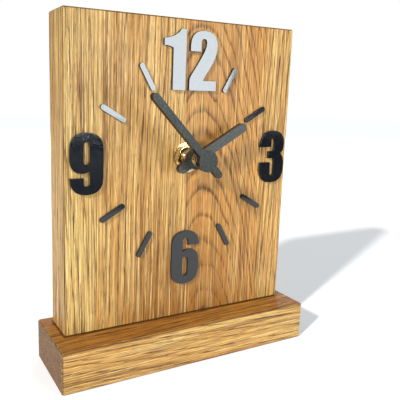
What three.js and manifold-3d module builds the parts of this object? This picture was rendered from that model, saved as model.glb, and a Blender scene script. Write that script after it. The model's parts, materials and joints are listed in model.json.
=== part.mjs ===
// Mantel clock: an oak dial panel on an oak plinth, raised acrylic numerals and hour marks,
// two round-ended bar hands, and a battery quartz movement let into the back of the panel.
// Millimetres. The origin is the middle of the plinth's underside, +X is to the right as seen
// from the front, +Z is up, and the dial faces -Y.
import * as THREE from "three";
import Module from "manifold-3d";
import { ConvexGeometry } from "three/addons/geometries/ConvexGeometry.js";
import { mergeVertices } from "three/addons/utils/BufferGeometryUtils.js";

const wasm = await Module();
wasm.setup();

// ---------------------------------------------------------------- driving dimensions

const PLINTH = { w: 137, d: 40, h: 20 };
const PANEL = { w: 125, t: 20, h: 147, front: -5 };
const EASE = 0.7; // chamfer on every edge of the two boards
const DIAL_Z = 100; // middle of the ring of hour marks
const ARBOR_Z = 102; // height of the hands' arbor, a little above the middle of the ring

const PANEL_BACK = PANEL.front + PANEL.t;
const TOP = PLINTH.h + PANEL.h;
const POCKET = { size: 60, corner: 5, floor: 1 }; // square pocket for the movement

const SCREW = { x: 36, y: 5, head: 4, headDepth: 2.6, shank: 2, tip: 48 };

const NUMERAL_T = 1.2;
const MARK = { width: 2.5, inner: 40, outer: 51.3, hours: [1, 2, 4, 5, 7, 8, 10, 11] };

const HAND_T = 2.8; // both hands are cut from one thickness of sheet
const HUB_R = 5; // round boss in the middle of each hand
const HOUR_HAND = { angle: 60.4, width: 4.6, reach: 29.4, tail: 8.8, back: -12 };
const MINUTE_HAND = { angle: -44, width: 3.4, reach: 39.9, tail: 8.9, back: -21.8 };

const BUSHING = { r: 4, bore: 2.75, front: -9.4 };
const WASHER = { r: 7.6, t: 0.6 };
const NUT = { acrossFlats: 11.8, t: 2 };

// The movement's case, with distances measured from the arbor.
const CASE = { half: 28, corner: 3, wall: 1.2, front: 1.8, back: 17.3, cover: 1.5 };
const CASE_FLOOR = CASE.front + CASE.wall;
const COVER_IN = CASE.back - CASE.cover;
const DIVIDER = { top: -10.3, t: 1 }; // wall between the gear train and the battery
const CELL = { r: 7.1, length: 49.5, nub: 1, nubR: 2.75, z: -19, y: 10.2, left: -25 };

// Wheel centres, [x, z] from the arbor.
const polar = (r, deg) => [r * Math.cos(rad(deg)), r * Math.sin(rad(deg))];
const plus = (a, b) => [a[0] + b[0], a[1] + b[1]];
const AT_ARBOR = [0, 0];
const AT_MOTION = polar(9.6, 150);
const AT_KNOB = plus(AT_MOTION, polar(10.2, 110));
const AT_THIRD = polar(10.8, 5);
const AT_STEP = polar(9.8, 115);
const AT_ROTOR = plus(AT_STEP, polar(7.2, 60));

// Gears: number of teeth, module, and the depth they fill.
const GEAR = {
  hour: { n: 40, m: 0.384, y: [3.4, 4.6] },
  motionPinion: { n: 10, m: 0.384, y: [3.4, 5.4] },
  motionWheel: { n: 36, m: 0.4, y: [5.4, 6.4] },
  cannon: { n: 12, m: 0.4, y: [5.2, 6.6] },
  knobPinion: { n: 15, m: 0.4, y: [5.2, 6.6] },
  centre: { n: 64, m: 0.3, y: [7.2, 8] },
  thirdPinion: { n: 8, m: 0.3, y: [7, 8.3] },
  thirdWheel: { n: 60, m: 10.8 / 34, y: [10, 10.6] },
  secondsPinion: { n: 8, m: 10.8 / 34, y: [9.8, 10.9] },
  secondsWheel: { n: 60, m: 0.28, y: [11.2, 11.8] },
  stepPinion: { n: 10, m: 0.28, y: [10.9, 12.2] },
  stepWheel: { n: 60, m: 0.2, y: [12.7, 13.3] },
  rotorPinion: { n: 12, m: 0.2, y: [12.4, 13.6] },
};

// ---------------------------------------------------------------- making solids

function rad(deg) {
  return (deg * Math.PI) / 180;
}

// A geometry as a manifold solid with its faces outwards.
function solid(geometry) {
  const bare = new THREE.BufferGeometry();
  bare.setAttribute("position", geometry.getAttribute("position"));
  if (geometry.index) bare.setIndex(geometry.index);
  const merged = mergeVertices(bare, 1e-4);
  const triVerts = new Uint32Array(merged.index.array);
  const make = () =>
    new wasm.Manifold(
      new wasm.Mesh({
        numProp: 3,
        vertProperties: merged.attributes.position.array,
        triVerts,
      }),
    );
  const made = make();
  if (made.volume() > 0) return made;
  for (let i = 0; i < triVerts.length; i += 3) {
    [triVerts[i + 1], triVerts[i + 2]] = [triVerts[i + 2], triVerts[i + 1]];
  }
  return make();
}

function join(first, ...rest) {
  return rest.reduce((all, one) => all.add(one), first);
}

function cut(first, ...rest) {
  return rest.reduce((left, one) => left.subtract(one), first);
}

function geometryOf(made) {
  const mesh = made.getMesh();
  const points = new Float32Array(mesh.numVert * 3);
  for (let i = 0; i < mesh.numVert; i++) {
    points.set(mesh.vertProperties.subarray(i * mesh.numProp, i * mesh.numProp + 3), i * 3);
  }
  const indexed = new THREE.BufferGeometry();
  indexed.setAttribute("position", new THREE.BufferAttribute(points, 3));
  indexed.setIndex(new THREE.BufferAttribute(mesh.triVerts, 1));
  const flat = indexed.toNonIndexed();
  flat.computeVertexNormals();
  return flat;
}

// A shape drawn in X and Z, filled from y0 to y1.
function prism(shape, y0, y1, curveSegments = 6) {
  const geometry = new THREE.ExtrudeGeometry(shape, {
    depth: y1 - y0,
    bevelEnabled: false,
    curveSegments,
  });
  geometry.rotateX(Math.PI / 2);
  geometry.translate(0, y1, 0);
  return solid(geometry);
}

// A profile of [radius, y] turned round an axis along Y through [x, z].
function turned(profile, [x, z], segments) {
  const points = profile.map(([r, y]) => new THREE.Vector2(r, y));
  const geometry = new THREE.LatheGeometry(points, segments);
  geometry.translate(x, 0, z);
  return solid(geometry);
}

function rod(at, r, y0, y1, segments = 16) {
  return turned([[0, y0], [r, y0], [r, y1], [0, y1]], at, segments);
}

function tube(at, r, bore, y0, y1, segments = 24) {
  return turned([[bore, y0], [r, y0], [r, y1], [bore, y1], [bore, y0]], at, segments);
}

function box(x0, x1, y0, y1, z0, z1) {
  const geometry = new THREE.BoxGeometry(x1 - x0, y1 - y0, z1 - z0);
  geometry.translate((x0 + x1) / 2, (y0 + y1) / 2, (z0 + z1) / 2);
  return solid(geometry);
}

// A box with every edge chamfered by e.
function easedBox(x0, x1, y0, y1, z0, z1, e) {
  const low = [x0, y0, z0];
  const high = [x1, y1, z1];
  const points = [];
  for (let corner = 0; corner < 8; corner++) {
    const side = [corner & 1, (corner >> 1) & 1, (corner >> 2) & 1];
    for (let face = 0; face < 3; face++) {
      const p = side.map((s, i) => {
        const inset = i === face ? 0 : e;
        return s ? high[i] - inset : low[i] + inset;
      });
      points.push(new THREE.Vector3(...p));
    }
  }
  return solid(new ConvexGeometry(points));
}

function roundedSquare(half, r, [x, z] = [0, 0]) {
  const s = new THREE.Shape();
  s.moveTo(x - half + r, z - half);
  s.lineTo(x + half - r, z - half);
  s.absarc(x + half - r, z - half + r, r, -Math.PI / 2, 0);
  s.lineTo(x + half, z + half - r);
  s.absarc(x + half - r, z + half - r, r, 0, Math.PI / 2);
  s.lineTo(x - half + r, z + half);
  s.absarc(x - half + r, z + half - r, r, Math.PI / 2, Math.PI);
  s.lineTo(x - half, z - half + r);
  s.absarc(x - half + r, z - half + r, r, Math.PI, 1.5 * Math.PI);
  return s;
}

// A bar with round ends from a to b, both [x, z].
function stadium(a, b, width) {
  const along = Math.atan2(b[1] - a[1], b[0] - a[0]);
  const s = new THREE.Shape();
  s.absarc(b[0], b[1], width / 2, along - Math.PI / 2, along + Math.PI / 2);
  s.absarc(a[0], a[1], width / 2, along + Math.PI / 2, along + 1.5 * Math.PI);
  return s;
}

// Straight-sided teeth with a blunt tip; phase turns the wheel, and the first tooth points there.
function gearShape({ n, m }, at, phase) {
  const pitch = (n * m) / 2;
  const rows = [
    [pitch - 1.05 * m, 0.98],
    [pitch + 0.75 * m, 0.34],
  ];
  const s = new THREE.Shape();
  for (let i = 0; i < n; i++) {
    const tooth = phase + (i * 2 * Math.PI) / n;
    const corners = [
      [rows[0], -1],
      [rows[1], -1],
      [rows[1], 1],
      [rows[0], 1],
    ];
    for (const [[r, halfTooth], side] of corners) {
      const angle = tooth + (side * halfTooth * m) / r;
      const x = at[0] + r * Math.cos(angle);
      const z = at[1] + r * Math.sin(angle);
      if (s.curves.length === 0 && s.currentPoint.length() === 0) s.moveTo(x, z);
      else s.lineTo(x, z);
    }
  }
  return s;
}

function gear(kind, at, phase) {
  return prism(gearShape(kind, at, phase), ...kind.y);
}

// The phase that puts a gap of the second wheel where the first one's tooth points at it.
function meshPhase(first, at, firstPhase, second, secondAt) {
  const line = Math.atan2(secondAt[1] - at[1], secondAt[0] - at[0]);
  const firstPitch = (2 * Math.PI) / first.n;
  const offset = (((line - firstPhase) % firstPitch) + firstPitch) % firstPitch;
  const turn = (offset * first.n) / second.n;
  return line + Math.PI + Math.PI / second.n + turn;
}

const group = new THREE.Group();
group.name = "mantel_clock";

const LOOKS = {
  oak: { color: 0xd9a566, roughness: 0.55 },
  gloss_black: { color: 0x14161a, roughness: 0.08 },
  brass: { color: 0xd8b25a, roughness: 0.22, metalness: 1 },
  steel: { color: 0xb9bcc0, roughness: 0.3, metalness: 1 },
  black_plastic: { color: 0x1b1b1d, roughness: 0.5 },
  white_plastic: { color: 0xe9e7de, roughness: 0.5 },
  rubber: { color: 0x222222, roughness: 0.9 },
  cell_jacket: { color: 0x3f6b4b, roughness: 0.35 },
  copper: { color: 0xb5673a, roughness: 0.35, metalness: 1 },
  board: { color: 0x2f6d3b, roughness: 0.5 },
};

// Adds a solid as a named mesh; lift raises what was drawn round the arbor to its height.
function add(name, look, made, lift = 0) {
  const geometry = geometryOf(made);
  geometry.translate(0, 0, lift);
  const material = new THREE.MeshStandardMaterial(LOOKS[look]);
  const mesh = new THREE.Mesh(geometry, material);
  mesh.name = name;
  group.add(mesh);
}

// ---------------------------------------------------------------- oak boards and their screws

const screwAt = [-SCREW.x, SCREW.x];

// A vertical solid of [radius, z] steps through x, y.
function turnedUp(profile, x, y, segments = 16) {
  const geometry = new THREE.LatheGeometry(
    profile.map(([r, z]) => new THREE.Vector2(r, z)),
    segments,
  );
  geometry.rotateX(Math.PI / 2);
  geometry.translate(x, y, 0);
  return solid(geometry);
}

let plinth = easedBox(
  -PLINTH.w / 2, PLINTH.w / 2, -PLINTH.d / 2, PLINTH.d / 2, 0, PLINTH.h, EASE,
);
let panel = easedBox(
  -PANEL.w / 2, PANEL.w / 2, PANEL.front, PANEL_BACK, PLINTH.h, TOP, EASE,
);
for (const x of screwAt) {
  const { y, head, headDepth, shank, tip } = SCREW;
  const clear = 0.25;
  plinth = cut(
    plinth,
    turnedUp(
      [
        [0, -1],
        [head + clear, -1],
        [head + clear, 0.8],
        [shank + clear, headDepth + 1],
        [shank + clear, PLINTH.h + 1],
        [0, PLINTH.h + 1],
      ],
      x,
      y,
    ),
  );
  panel = cut(
    panel,
    turnedUp(
      [
        [0, PLINTH.h - 1],
        [shank - 0.2, PLINTH.h - 1],
        [shank - 0.2, tip - 5],
        [0, tip + 1],
      ],
      x,
      y,
    ),
  );
  const screw = turnedUp(
    [
      [0, 0.6],
      [head, 0.6],
      [head, 1],
      [shank, headDepth + 0.9],
      [shank, PLINTH.h - 0.3],
      [shank - 0.4, PLINTH.h + 0.2],
      [shank - 0.4, tip - 6],
      [0, tip],
    ],
    x,
    y,
  );
  const slotA = box(x - 2.2, x + 2.2, y - 0.4, y + 0.4, 0, 1.9);
  const slotB = box(x - 0.4, x + 0.4, y - 2.2, y + 2.2, 0, 1.9);
  add(x < 0 ? "plinth_screw_left" : "plinth_screw_right", "steel", cut(screw, slotA, slotB));
}

const centre = [0, ARBOR_Z];
panel = cut(
  panel,
  prism(roundedSquare(POCKET.size / 2, POCKET.corner, centre), POCKET.floor, PANEL_BACK + 1),
  rod(centre, BUSHING.r + 0.3, PANEL.front - 1, POCKET.floor + 1, 32),
);
add("plinth", "oak", plinth);
add("dial_panel", "oak", panel);

// ---------------------------------------------------------------- numerals and hour marks

// Each outline is drawn in X and Z from the numeral's own lower left corner.
function figureOne() {
  const s = new THREE.Shape();
  s.moveTo(4.8, 0);
  s.lineTo(11.7, 0);
  s.lineTo(11.7, 28);
  s.lineTo(8.9, 28);
  s.quadraticCurveTo(6.9, 24.4, 0, 23.2);
  s.lineTo(0, 20.2);
  s.quadraticCurveTo(3.1, 20.1, 4.8, 19.2);
  return s;
}

function figureTwo() {
  const s = new THREE.Shape();
  s.moveTo(0, 0);
  s.lineTo(15.2, 0);
  s.lineTo(15.2, 4.75);
  s.lineTo(7.6, 4.75);
  s.quadraticCurveTo(8.2, 6.2, 10, 8.7);
  s.bezierCurveTo(12.6, 12.2, 15.4, 16.4, 15.4, 21.2);
  s.bezierCurveTo(15.4, 25.8, 12.6, 28, 7.8, 28);
  s.bezierCurveTo(3, 28, 0.3, 25.6, 0.3, 20.8);
  s.lineTo(0.3, 18.2);
  s.lineTo(6.2, 18.2);
  s.lineTo(6.2, 22.4);
  s.quadraticCurveTo(6.2, 24.2, 7.7, 24.2);
  s.quadraticCurveTo(9.2, 24.2, 9.2, 22.4);
  s.bezierCurveTo(9.2, 19.5, 7.2, 16.8, 4.2, 12);
  s.bezierCurveTo(1.8, 8.2, 0, 6.4, 0, 4.5);
  return s;
}

function figureThree() {
  const s = new THREE.Shape();
  s.moveTo(0, 11);
  s.lineTo(0, 7.2);
  s.bezierCurveTo(0, 2.4, 3, 0, 7.9, 0);
  s.bezierCurveTo(13, 0, 15.8, 2.6, 15.8, 7.4);
  s.lineTo(15.8, 9.5);
  s.bezierCurveTo(15.8, 13.2, 14.9, 14.9, 13.2, 15.7);
  s.bezierCurveTo(14.9, 16.6, 15.6, 18.2, 15.6, 20.6);
  s.bezierCurveTo(15.6, 25.6, 12.8, 27.9, 7.9, 27.9);
  s.bezierCurveTo(2.9, 27.9, 0, 25.4, 0, 20.6);
  s.lineTo(0, 19.2);
  s.lineTo(6.9, 19.2);
  s.lineTo(6.9, 22.3);
  s.quadraticCurveTo(6.9, 23.7, 8.1, 23.7);
  s.quadraticCurveTo(9.3, 23.7, 9.3, 22.3);
  s.lineTo(9.3, 19);
  s.quadraticCurveTo(9.3, 17, 7.2, 17);
  s.lineTo(5.2, 17);
  s.lineTo(5.2, 13.2);
  s.lineTo(7.2, 13.2);
  s.quadraticCurveTo(9.3, 13.2, 9.3, 11.3);
  s.lineTo(9.3, 5.2);
  s.quadraticCurveTo(9.3, 3.7, 8, 3.7);
  s.quadraticCurveTo(6.7, 3.7, 6.7, 5.2);
  s.lineTo(6.7, 11);
  return s;
}

function figureNine() {
  const s = new THREE.Shape();
  s.moveTo(0, 7.7);
  s.bezierCurveTo(0, 2.4, 3, 0, 7.9, 0);
  s.bezierCurveTo(13, 0, 15.75, 2.6, 15.75, 7.5);
  s.lineTo(15.75, 20.4);
  s.bezierCurveTo(15.75, 25.4, 13, 27.9, 7.9, 27.9);
  s.bezierCurveTo(2.8, 27.9, 0, 25.4, 0, 20.4);
  s.lineTo(0, 16.5);
  s.bezierCurveTo(0, 12, 2.2, 9.7, 5.6, 9.7);
  s.quadraticCurveTo(8.2, 9.7, 9.5, 11.2);
  s.lineTo(9.5, 5.4);
  s.quadraticCurveTo(9.5, 3.8, 7.9, 3.8);
  s.quadraticCurveTo(6.3, 3.8, 6.3, 5.4);
  s.lineTo(6.3, 7.7);
  const counter = new THREE.Path();
  counter.absarc(7.85, 22.1, 1.6, 0, Math.PI);
  counter.absarc(7.85, 15.1, 1.6, Math.PI, 2 * Math.PI);
  s.holes.push(counter);
  return s;
}

function raised(outline, x, z) {
  const made = prism(outline, PANEL.front - NUMERAL_T, PANEL.front, 5);
  return made.translate([x, 0, z]);
}

const SIDE_FIGURE_Z = 86.6; // foot of the 9 and the 3
add("numeral_1", "gloss_black", raised(figureOne(), -14.6, 134));
add("numeral_2", "gloss_black", raised(figureTwo(), -0.8, 134));
add("numeral_3", "gloss_black", raised(figureThree(), 44.5, SIDE_FIGURE_Z));
add("numeral_9", "gloss_black", raised(figureNine(), -59.9, SIDE_FIGURE_Z));
const six = raised(figureNine(), 0, 0).rotate([0, 180, 0]);
add("numeral_6", "gloss_black", six.translate([8.1, 0, 65]));

for (const hour of MARK.hours) {
  const dir = 90 - hour * 30;
  const from = plus([0, DIAL_Z], polar(MARK.inner, dir));
  const to = plus([0, DIAL_Z], polar(MARK.outer, dir));
  const bar = prism(stadium(from, to, MARK.width), PANEL.front - NUMERAL_T, PANEL.front, 8);
  add("hour_mark_" + String(hour).padStart(2, "0"), "gloss_black", bar);
}

// ---------------------------------------------------------------- hands

// angle runs clockwise from 12, as seen from the front.
function hand({ angle, width, reach, tail, back }) {
  const dir = 90 - angle;
  const bar = stadium(polar(-tail, dir), polar(reach, dir), width);
  const front = back - HAND_T;
  return join(prism(bar, front, back, 12), rod(AT_ARBOR, HUB_R, front, back, 48));
}

const HOUR_TUBE = { r: 2.5, bore: 1.85, front: -15.4 };
const ARBOR = { r: 1.6, front: -23 };
const HOUR_COLLET = { r: 3.1, back: -10.4, front: -14.5 };
const MINUTE_COLLET = { r: 2.3, back: -18.6, front: -23.2 };

const hourHand = cut(
  hand(HOUR_HAND),
  rod(AT_ARBOR, HOUR_COLLET.r + 0.05, HOUR_HAND.back - HAND_T - 1, HOUR_HAND.back + 1, 32),
);
add("hour_hand", "gloss_black", hourHand, ARBOR_Z);
add(
  "hour_hand_collet",
  "brass",
  tube(AT_ARBOR, HOUR_COLLET.r, HOUR_TUBE.r + 0.05, HOUR_COLLET.front, HOUR_COLLET.back, 32),
  ARBOR_Z,
);
const minuteHand = cut(
  hand(MINUTE_HAND),
  rod(AT_ARBOR, MINUTE_COLLET.r + 0.05, MINUTE_COLLET.front - 0.1, MINUTE_HAND.back + 1, 24),
);
add("minute_hand", "gloss_black", minuteHand, ARBOR_Z);
add(
  "minute_hand_collet",
  "brass",
  tube(AT_ARBOR, MINUTE_COLLET.r, ARBOR.r + 0.05, MINUTE_COLLET.front, MINUTE_COLLET.back, 24),
  ARBOR_Z,
);

// ---------------------------------------------------------------- fixing to the panel

const washerFront = PANEL.front - WASHER.t;
add("dial_washer", "brass", tube(AT_ARBOR, WASHER.r, BUSHING.r + 0.2, washerFront, PANEL.front, 48), ARBOR_Z);

const nutOuter = new THREE.Shape();
for (let i = 0; i < 6; i++) {
  const [x, z] = polar(NUT.acrossFlats / 2 / Math.cos(rad(30)), 60 * i + 12);
  if (i === 0) nutOuter.moveTo(x, z);
  else nutOuter.lineTo(x, z);
}
const nutFront = washerFront - NUT.t;
const nutCorner = NUT.acrossFlats / 2 / Math.cos(rad(30));
const nutChamfer = turned(
  [
    [0, nutFront],
    [NUT.acrossFlats / 2 - 0.1, nutFront],
    [nutCorner + 0.3, nutFront + 0.7],
    [nutCorner + 0.3, washerFront],
    [0, washerFront],
  ],
  AT_ARBOR,
  48,
);
const nut = cut(
  prism(nutOuter, nutFront, washerFront).intersect(nutChamfer),
  rod(AT_ARBOR, BUSHING.r + 0.1, nutFront - 1, washerFront + 1, 32),
);
add("hex_nut", "brass", nut, ARBOR_Z);
add("cushion_gasket", "rubber", tube(AT_ARBOR, 11, BUSHING.r + 0.5, POCKET.floor, CASE.front, 32), ARBOR_Z);

const BUSHING_FLANGE = { r: 5.2, t: 0.8 };
add(
  "threaded_bushing",
  "brass",
  turned(
    [
      [BUSHING.bore, CASE_FLOOR],
      [BUSHING_FLANGE.r, CASE_FLOOR],
      [BUSHING_FLANGE.r, CASE_FLOOR - BUSHING_FLANGE.t],
      [BUSHING.r, CASE_FLOOR - BUSHING_FLANGE.t],
      [BUSHING.r, BUSHING.front + 0.4],
      [BUSHING.r - 0.4, BUSHING.front],
      [BUSHING.bore, BUSHING.front],
      [BUSHING.bore, CASE_FLOOR],
    ],
    AT_ARBOR,
    32,
  ),
  ARBOR_Z,
);

// ---------------------------------------------------------------- movement case

const PIVOT_R = 0.4; // thin end of every wheel's arbor
const PIVOT_HOLE_R = 0.55;
const STUD_R = 0.7; // the motion wheel turns on a stud of the case

function pivotHole(at, y0, y1) {
  return rod(at, PIVOT_HOLE_R, y0, y1, 10);
}

const inner = CASE.half - CASE.wall;
const trainRoom = new THREE.Shape();
trainRoom.moveTo(-inner, DIVIDER.top);
trainRoom.lineTo(inner, DIVIDER.top);
trainRoom.lineTo(inner, inner);
trainRoom.lineTo(-inner, inner);
const shell = cut(
  prism(roundedSquare(CASE.half, CASE.corner), CASE.front, COVER_IN),
  prism(trainRoom, CASE_FLOOR, COVER_IN + 1),
  box(-inner, inner, CASE_FLOOR, COVER_IN + 1, -inner, DIVIDER.top - DIVIDER.t),
  // slots that let the battery contacts through the dividing wall
  box(inner - 1.2, inner, 6, 12, DIVIDER.top - DIVIDER.t - 1, DIVIDER.top + 1),
  box(-inner, -inner + 1.2, 6, 12, DIVIDER.top - DIVIDER.t - 1, DIVIDER.top + 1),
  rod(AT_ARBOR, BUSHING.r + 0.1, CASE.front - 1, CASE_FLOOR + 1, 32),
  rod(AT_ARBOR, BUSHING_FLANGE.r + 0.1, CASE_FLOOR - BUSHING_FLANGE.t, CASE_FLOOR + 1, 32),
  pivotHole(AT_KNOB, CASE_FLOOR - 0.7, CASE_FLOOR + 1),
  pivotHole(AT_THIRD, CASE_FLOOR - 0.7, CASE_FLOOR + 1),
);
const motionStud = rod(AT_MOTION, STUD_R, CASE_FLOOR - 0.2, GEAR.motionWheel.y[1] + 0.3, 12);
add("case_front", "black_plastic", join(shell, motionStud), ARBOR_Z);

const coverShape = new THREE.Shape();
const [coverSide, coverLow] = [CASE.half, DIVIDER.top - DIVIDER.t];
coverShape.moveTo(-coverSide, coverLow);
coverShape.lineTo(coverSide, coverLow);
coverShape.lineTo(coverSide, coverSide - CASE.corner);
coverShape.absarc(coverSide - CASE.corner, coverSide - CASE.corner, CASE.corner, 0, Math.PI / 2);
coverShape.lineTo(-coverSide + CASE.corner, coverSide);
coverShape.absarc(-coverSide + CASE.corner, coverSide - CASE.corner, CASE.corner, Math.PI / 2, Math.PI);
const KNOB = { shaft: 1.5, wheel: 5.2, back: 20 };
const cover = cut(
  prism(coverShape, COVER_IN, CASE.back),
  rod(AT_KNOB, KNOB.shaft + 0.2, COVER_IN - 1, CASE.back + 1, 16),
  pivotHole(AT_ARBOR, COVER_IN - 1, COVER_IN + 0.8),
  pivotHole(AT_THIRD, COVER_IN - 1, COVER_IN + 0.8),
  pivotHole(AT_STEP, COVER_IN - 1, COVER_IN + 0.8),
  pivotHole(AT_ROTOR, COVER_IN - 1, COVER_IN + 0.8),
);
add("case_rear", "black_plastic", cover, ARBOR_Z);

// The middle plate carries the front pivots of the step wheel and rotor.
const MIDDLE = { y: [8.8, 9.6], x: [-26, 26], z: [-9.6, 18] };
const middle = cut(
  box(...MIDDLE.x, ...MIDDLE.y, ...MIDDLE.z),
  rod(AT_ARBOR, 1.4, MIDDLE.y[0] - 1, MIDDLE.y[1] + 1, 16),
  rod(AT_THIRD, 1.9, MIDDLE.y[0] - 1, MIDDLE.y[1] + 1, 12),
  rod(AT_KNOB, KNOB.shaft + 0.2, MIDDLE.y[0] - 1, MIDDLE.y[1] + 1, 16),
  pivotHole(AT_STEP, MIDDLE.y[1] - 0.6, MIDDLE.y[1] + 1),
  pivotHole(AT_ROTOR, MIDDLE.y[1] - 0.6, MIDDLE.y[1] + 1),
);
add("middle_plate", "white_plastic", middle, ARBOR_Z);

// ---------------------------------------------------------------- gears of the hands

const phase = {};
phase.cannon = rad(7);
phase.motionWheel = meshPhase(GEAR.cannon, AT_ARBOR, phase.cannon, GEAR.motionWheel, AT_MOTION);
phase.motionPinion = rad(20);
phase.hour = meshPhase(GEAR.motionPinion, AT_MOTION, phase.motionPinion, GEAR.hour, AT_ARBOR);
phase.knobPinion = meshPhase(
  GEAR.motionWheel, AT_MOTION, phase.motionWheel, GEAR.knobPinion, AT_KNOB,
);

const minuteArbor = cut(
  join(
    rod(AT_ARBOR, ARBOR.r, ARBOR.front, GEAR.cannon.y[0] + 0.2, 24),
    gear(GEAR.cannon, AT_ARBOR, phase.cannon),
    rod(AT_ARBOR, 1.2, GEAR.cannon.y[1] - 0.2, 8.6, 16),
  ),
  pivotHole(AT_ARBOR, 6.6, 9),
);
add("minute_arbor", "steel", minuteArbor, ARBOR_Z);

const hourWheel = cut(
  join(
    gear(GEAR.hour, AT_ARBOR, phase.hour),
    rod(AT_ARBOR, HOUR_TUBE.r, HOUR_TUBE.front, GEAR.hour.y[0] + 0.2, 32),
  ),
  rod(AT_ARBOR, HOUR_TUBE.bore, HOUR_TUBE.front - 1, GEAR.hour.y[1] + 1, 24),
);
add("hour_wheel", "brass", hourWheel, ARBOR_Z);

function arborPiece(at, r, y0, y1) {
  return rod(at, r, y0, y1, 12);
}

add(
  "motion_wheel",
  "white_plastic",
  cut(
    join(
      gear(GEAR.motionWheel, AT_MOTION, phase.motionWheel),
      gear(GEAR.motionPinion, AT_MOTION, phase.motionPinion),
    ),
    rod(AT_MOTION, STUD_R + 0.1, GEAR.motionPinion.y[0] - 1, GEAR.motionWheel.y[1] + 1, 12),
  ),
  ARBOR_Z,
);

const gripShape = new THREE.Shape();
const GRIPS = 20;
for (let i = 0; i < GRIPS * 2; i++) {
  const [x, z] = plus(AT_KNOB, polar(i % 2 ? KNOB.wheel : KNOB.wheel - 0.45, (i * 180) / GRIPS));
  if (i === 0) gripShape.moveTo(x, z);
  else gripShape.lineTo(x, z);
}
add(
  "setting_knob",
  "black_plastic",
  join(
    arborPiece(AT_KNOB, PIVOT_R, CASE_FLOOR - 0.5, GEAR.knobPinion.y[0] + 0.2),
    gear(GEAR.knobPinion, AT_KNOB, phase.knobPinion),
    rod(AT_KNOB, KNOB.shaft, GEAR.knobPinion.y[1] - 0.2, CASE.back + 0.6, 16),
    prism(gripShape, CASE.back + 0.4, KNOB.back),
  ),
  ARBOR_Z,
);

// ---------------------------------------------------------------- gears driven by the rotor

phase.rotorPinion = rad(11);
phase.stepWheel = meshPhase(GEAR.rotorPinion, AT_ROTOR, phase.rotorPinion, GEAR.stepWheel, AT_STEP);
phase.stepPinion = rad(3);
phase.secondsWheel = meshPhase(
  GEAR.stepPinion, AT_STEP, phase.stepPinion, GEAR.secondsWheel, AT_ARBOR,
);
phase.secondsPinion = rad(9);
phase.thirdWheel = meshPhase(
  GEAR.secondsPinion, AT_ARBOR, phase.secondsPinion, GEAR.thirdWheel, AT_THIRD,
);
phase.thirdPinion = rad(15);
phase.centre = meshPhase(GEAR.thirdPinion, AT_THIRD, phase.thirdPinion, GEAR.centre, AT_ARBOR);

add(
  "centre_wheel",
  "white_plastic",
  cut(
    join(gear(GEAR.centre, AT_ARBOR, phase.centre), rod(AT_ARBOR, 2.4, 6.9, GEAR.centre.y[1], 24)),
    rod(AT_ARBOR, 1.3, 6, 9, 16),
  ),
  ARBOR_Z,
);

add(
  "third_wheel",
  "white_plastic",
  join(
    arborPiece(AT_THIRD, PIVOT_R, CASE_FLOOR - 0.5, GEAR.thirdPinion.y[0] + 0.2),
    gear(GEAR.thirdPinion, AT_THIRD, phase.thirdPinion),
    arborPiece(AT_THIRD, 0.8, GEAR.thirdPinion.y[1] - 0.2, COVER_IN - 0.3),
    gear(GEAR.thirdWheel, AT_THIRD, phase.thirdWheel),
    arborPiece(AT_THIRD, PIVOT_R, COVER_IN - 0.5, COVER_IN + 0.5),
  ),
  ARBOR_Z,
);

add(
  "seconds_wheel",
  "white_plastic",
  join(
    arborPiece(AT_ARBOR, PIVOT_R, 7, 9.4),
    arborPiece(AT_ARBOR, 0.8, 9.2, GEAR.secondsPinion.y[0] + 0.2),
    gear(GEAR.secondsPinion, AT_ARBOR, phase.secondsPinion),
    gear(GEAR.secondsWheel, AT_ARBOR, phase.secondsWheel),
    arborPiece(AT_ARBOR, 0.8, GEAR.secondsPinion.y[1] - 0.2, COVER_IN - 0.3),
    arborPiece(AT_ARBOR, PIVOT_R, COVER_IN - 0.5, COVER_IN + 0.5),
  ),
  ARBOR_Z,
);

add(
  "step_wheel",
  "white_plastic",
  join(
    arborPiece(AT_STEP, PIVOT_R, MIDDLE.y[1] - 0.4, GEAR.stepPinion.y[0] + 0.2),
    gear(GEAR.stepPinion, AT_STEP, phase.stepPinion),
    arborPiece(AT_STEP, 0.8, GEAR.stepPinion.y[1] - 0.2, COVER_IN - 0.3),
    gear(GEAR.stepWheel, AT_STEP, phase.stepWheel),
    arborPiece(AT_STEP, PIVOT_R, COVER_IN - 0.5, COVER_IN + 0.5),
  ),
  ARBOR_Z,
);

const MAGNET = { r: 2.8, y: [10.2, 12.1] };
add(
  "rotor",
  "steel",
  join(
    arborPiece(AT_ROTOR, PIVOT_R, MIDDLE.y[1] - 0.4, MAGNET.y[0] + 0.2),
    rod(AT_ROTOR, MAGNET.r, ...MAGNET.y, 24),
    gear(GEAR.rotorPinion, AT_ROTOR, phase.rotorPinion),
    arborPiece(AT_ROTOR, 0.7, MAGNET.y[1] - 0.2, COVER_IN - 0.3),
    arborPiece(AT_ROTOR, PIVOT_R, COVER_IN - 0.5, COVER_IN + 0.5),
  ),
  ARBOR_Z,
);

// ---------------------------------------------------------------- motor, electronics and battery

const STATOR = { y: [10.7, 11.5], left: -9.2, right: 23, low: 13.4, top: 24.2, limb: 2.4 };
const COIL = { x: [4.5, 18.8], r: 3.1, flange: 0.7 };
const coreZ = STATOR.top - STATOR.limb / 2;
const coreY = (STATOR.y[0] + STATOR.y[1]) / 2;
const stator = cut(
  join(
    box(STATOR.left, STATOR.right, ...STATOR.y, STATOR.low, STATOR.top),
    rod(AT_ROTOR, 5.2, ...STATOR.y, 32),
  ),
  box(
    STATOR.left + STATOR.limb, STATOR.right - STATOR.limb, 10, 12,
    STATOR.low + STATOR.limb, STATOR.top - STATOR.limb,
  ),
).add(rod(AT_ROTOR, 5.2, ...STATOR.y, 32));
add("stator", "steel", cut(stator, rod(AT_ROTOR, MAGNET.r + 0.6, 10, 12, 32)), ARBOR_Z);

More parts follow.
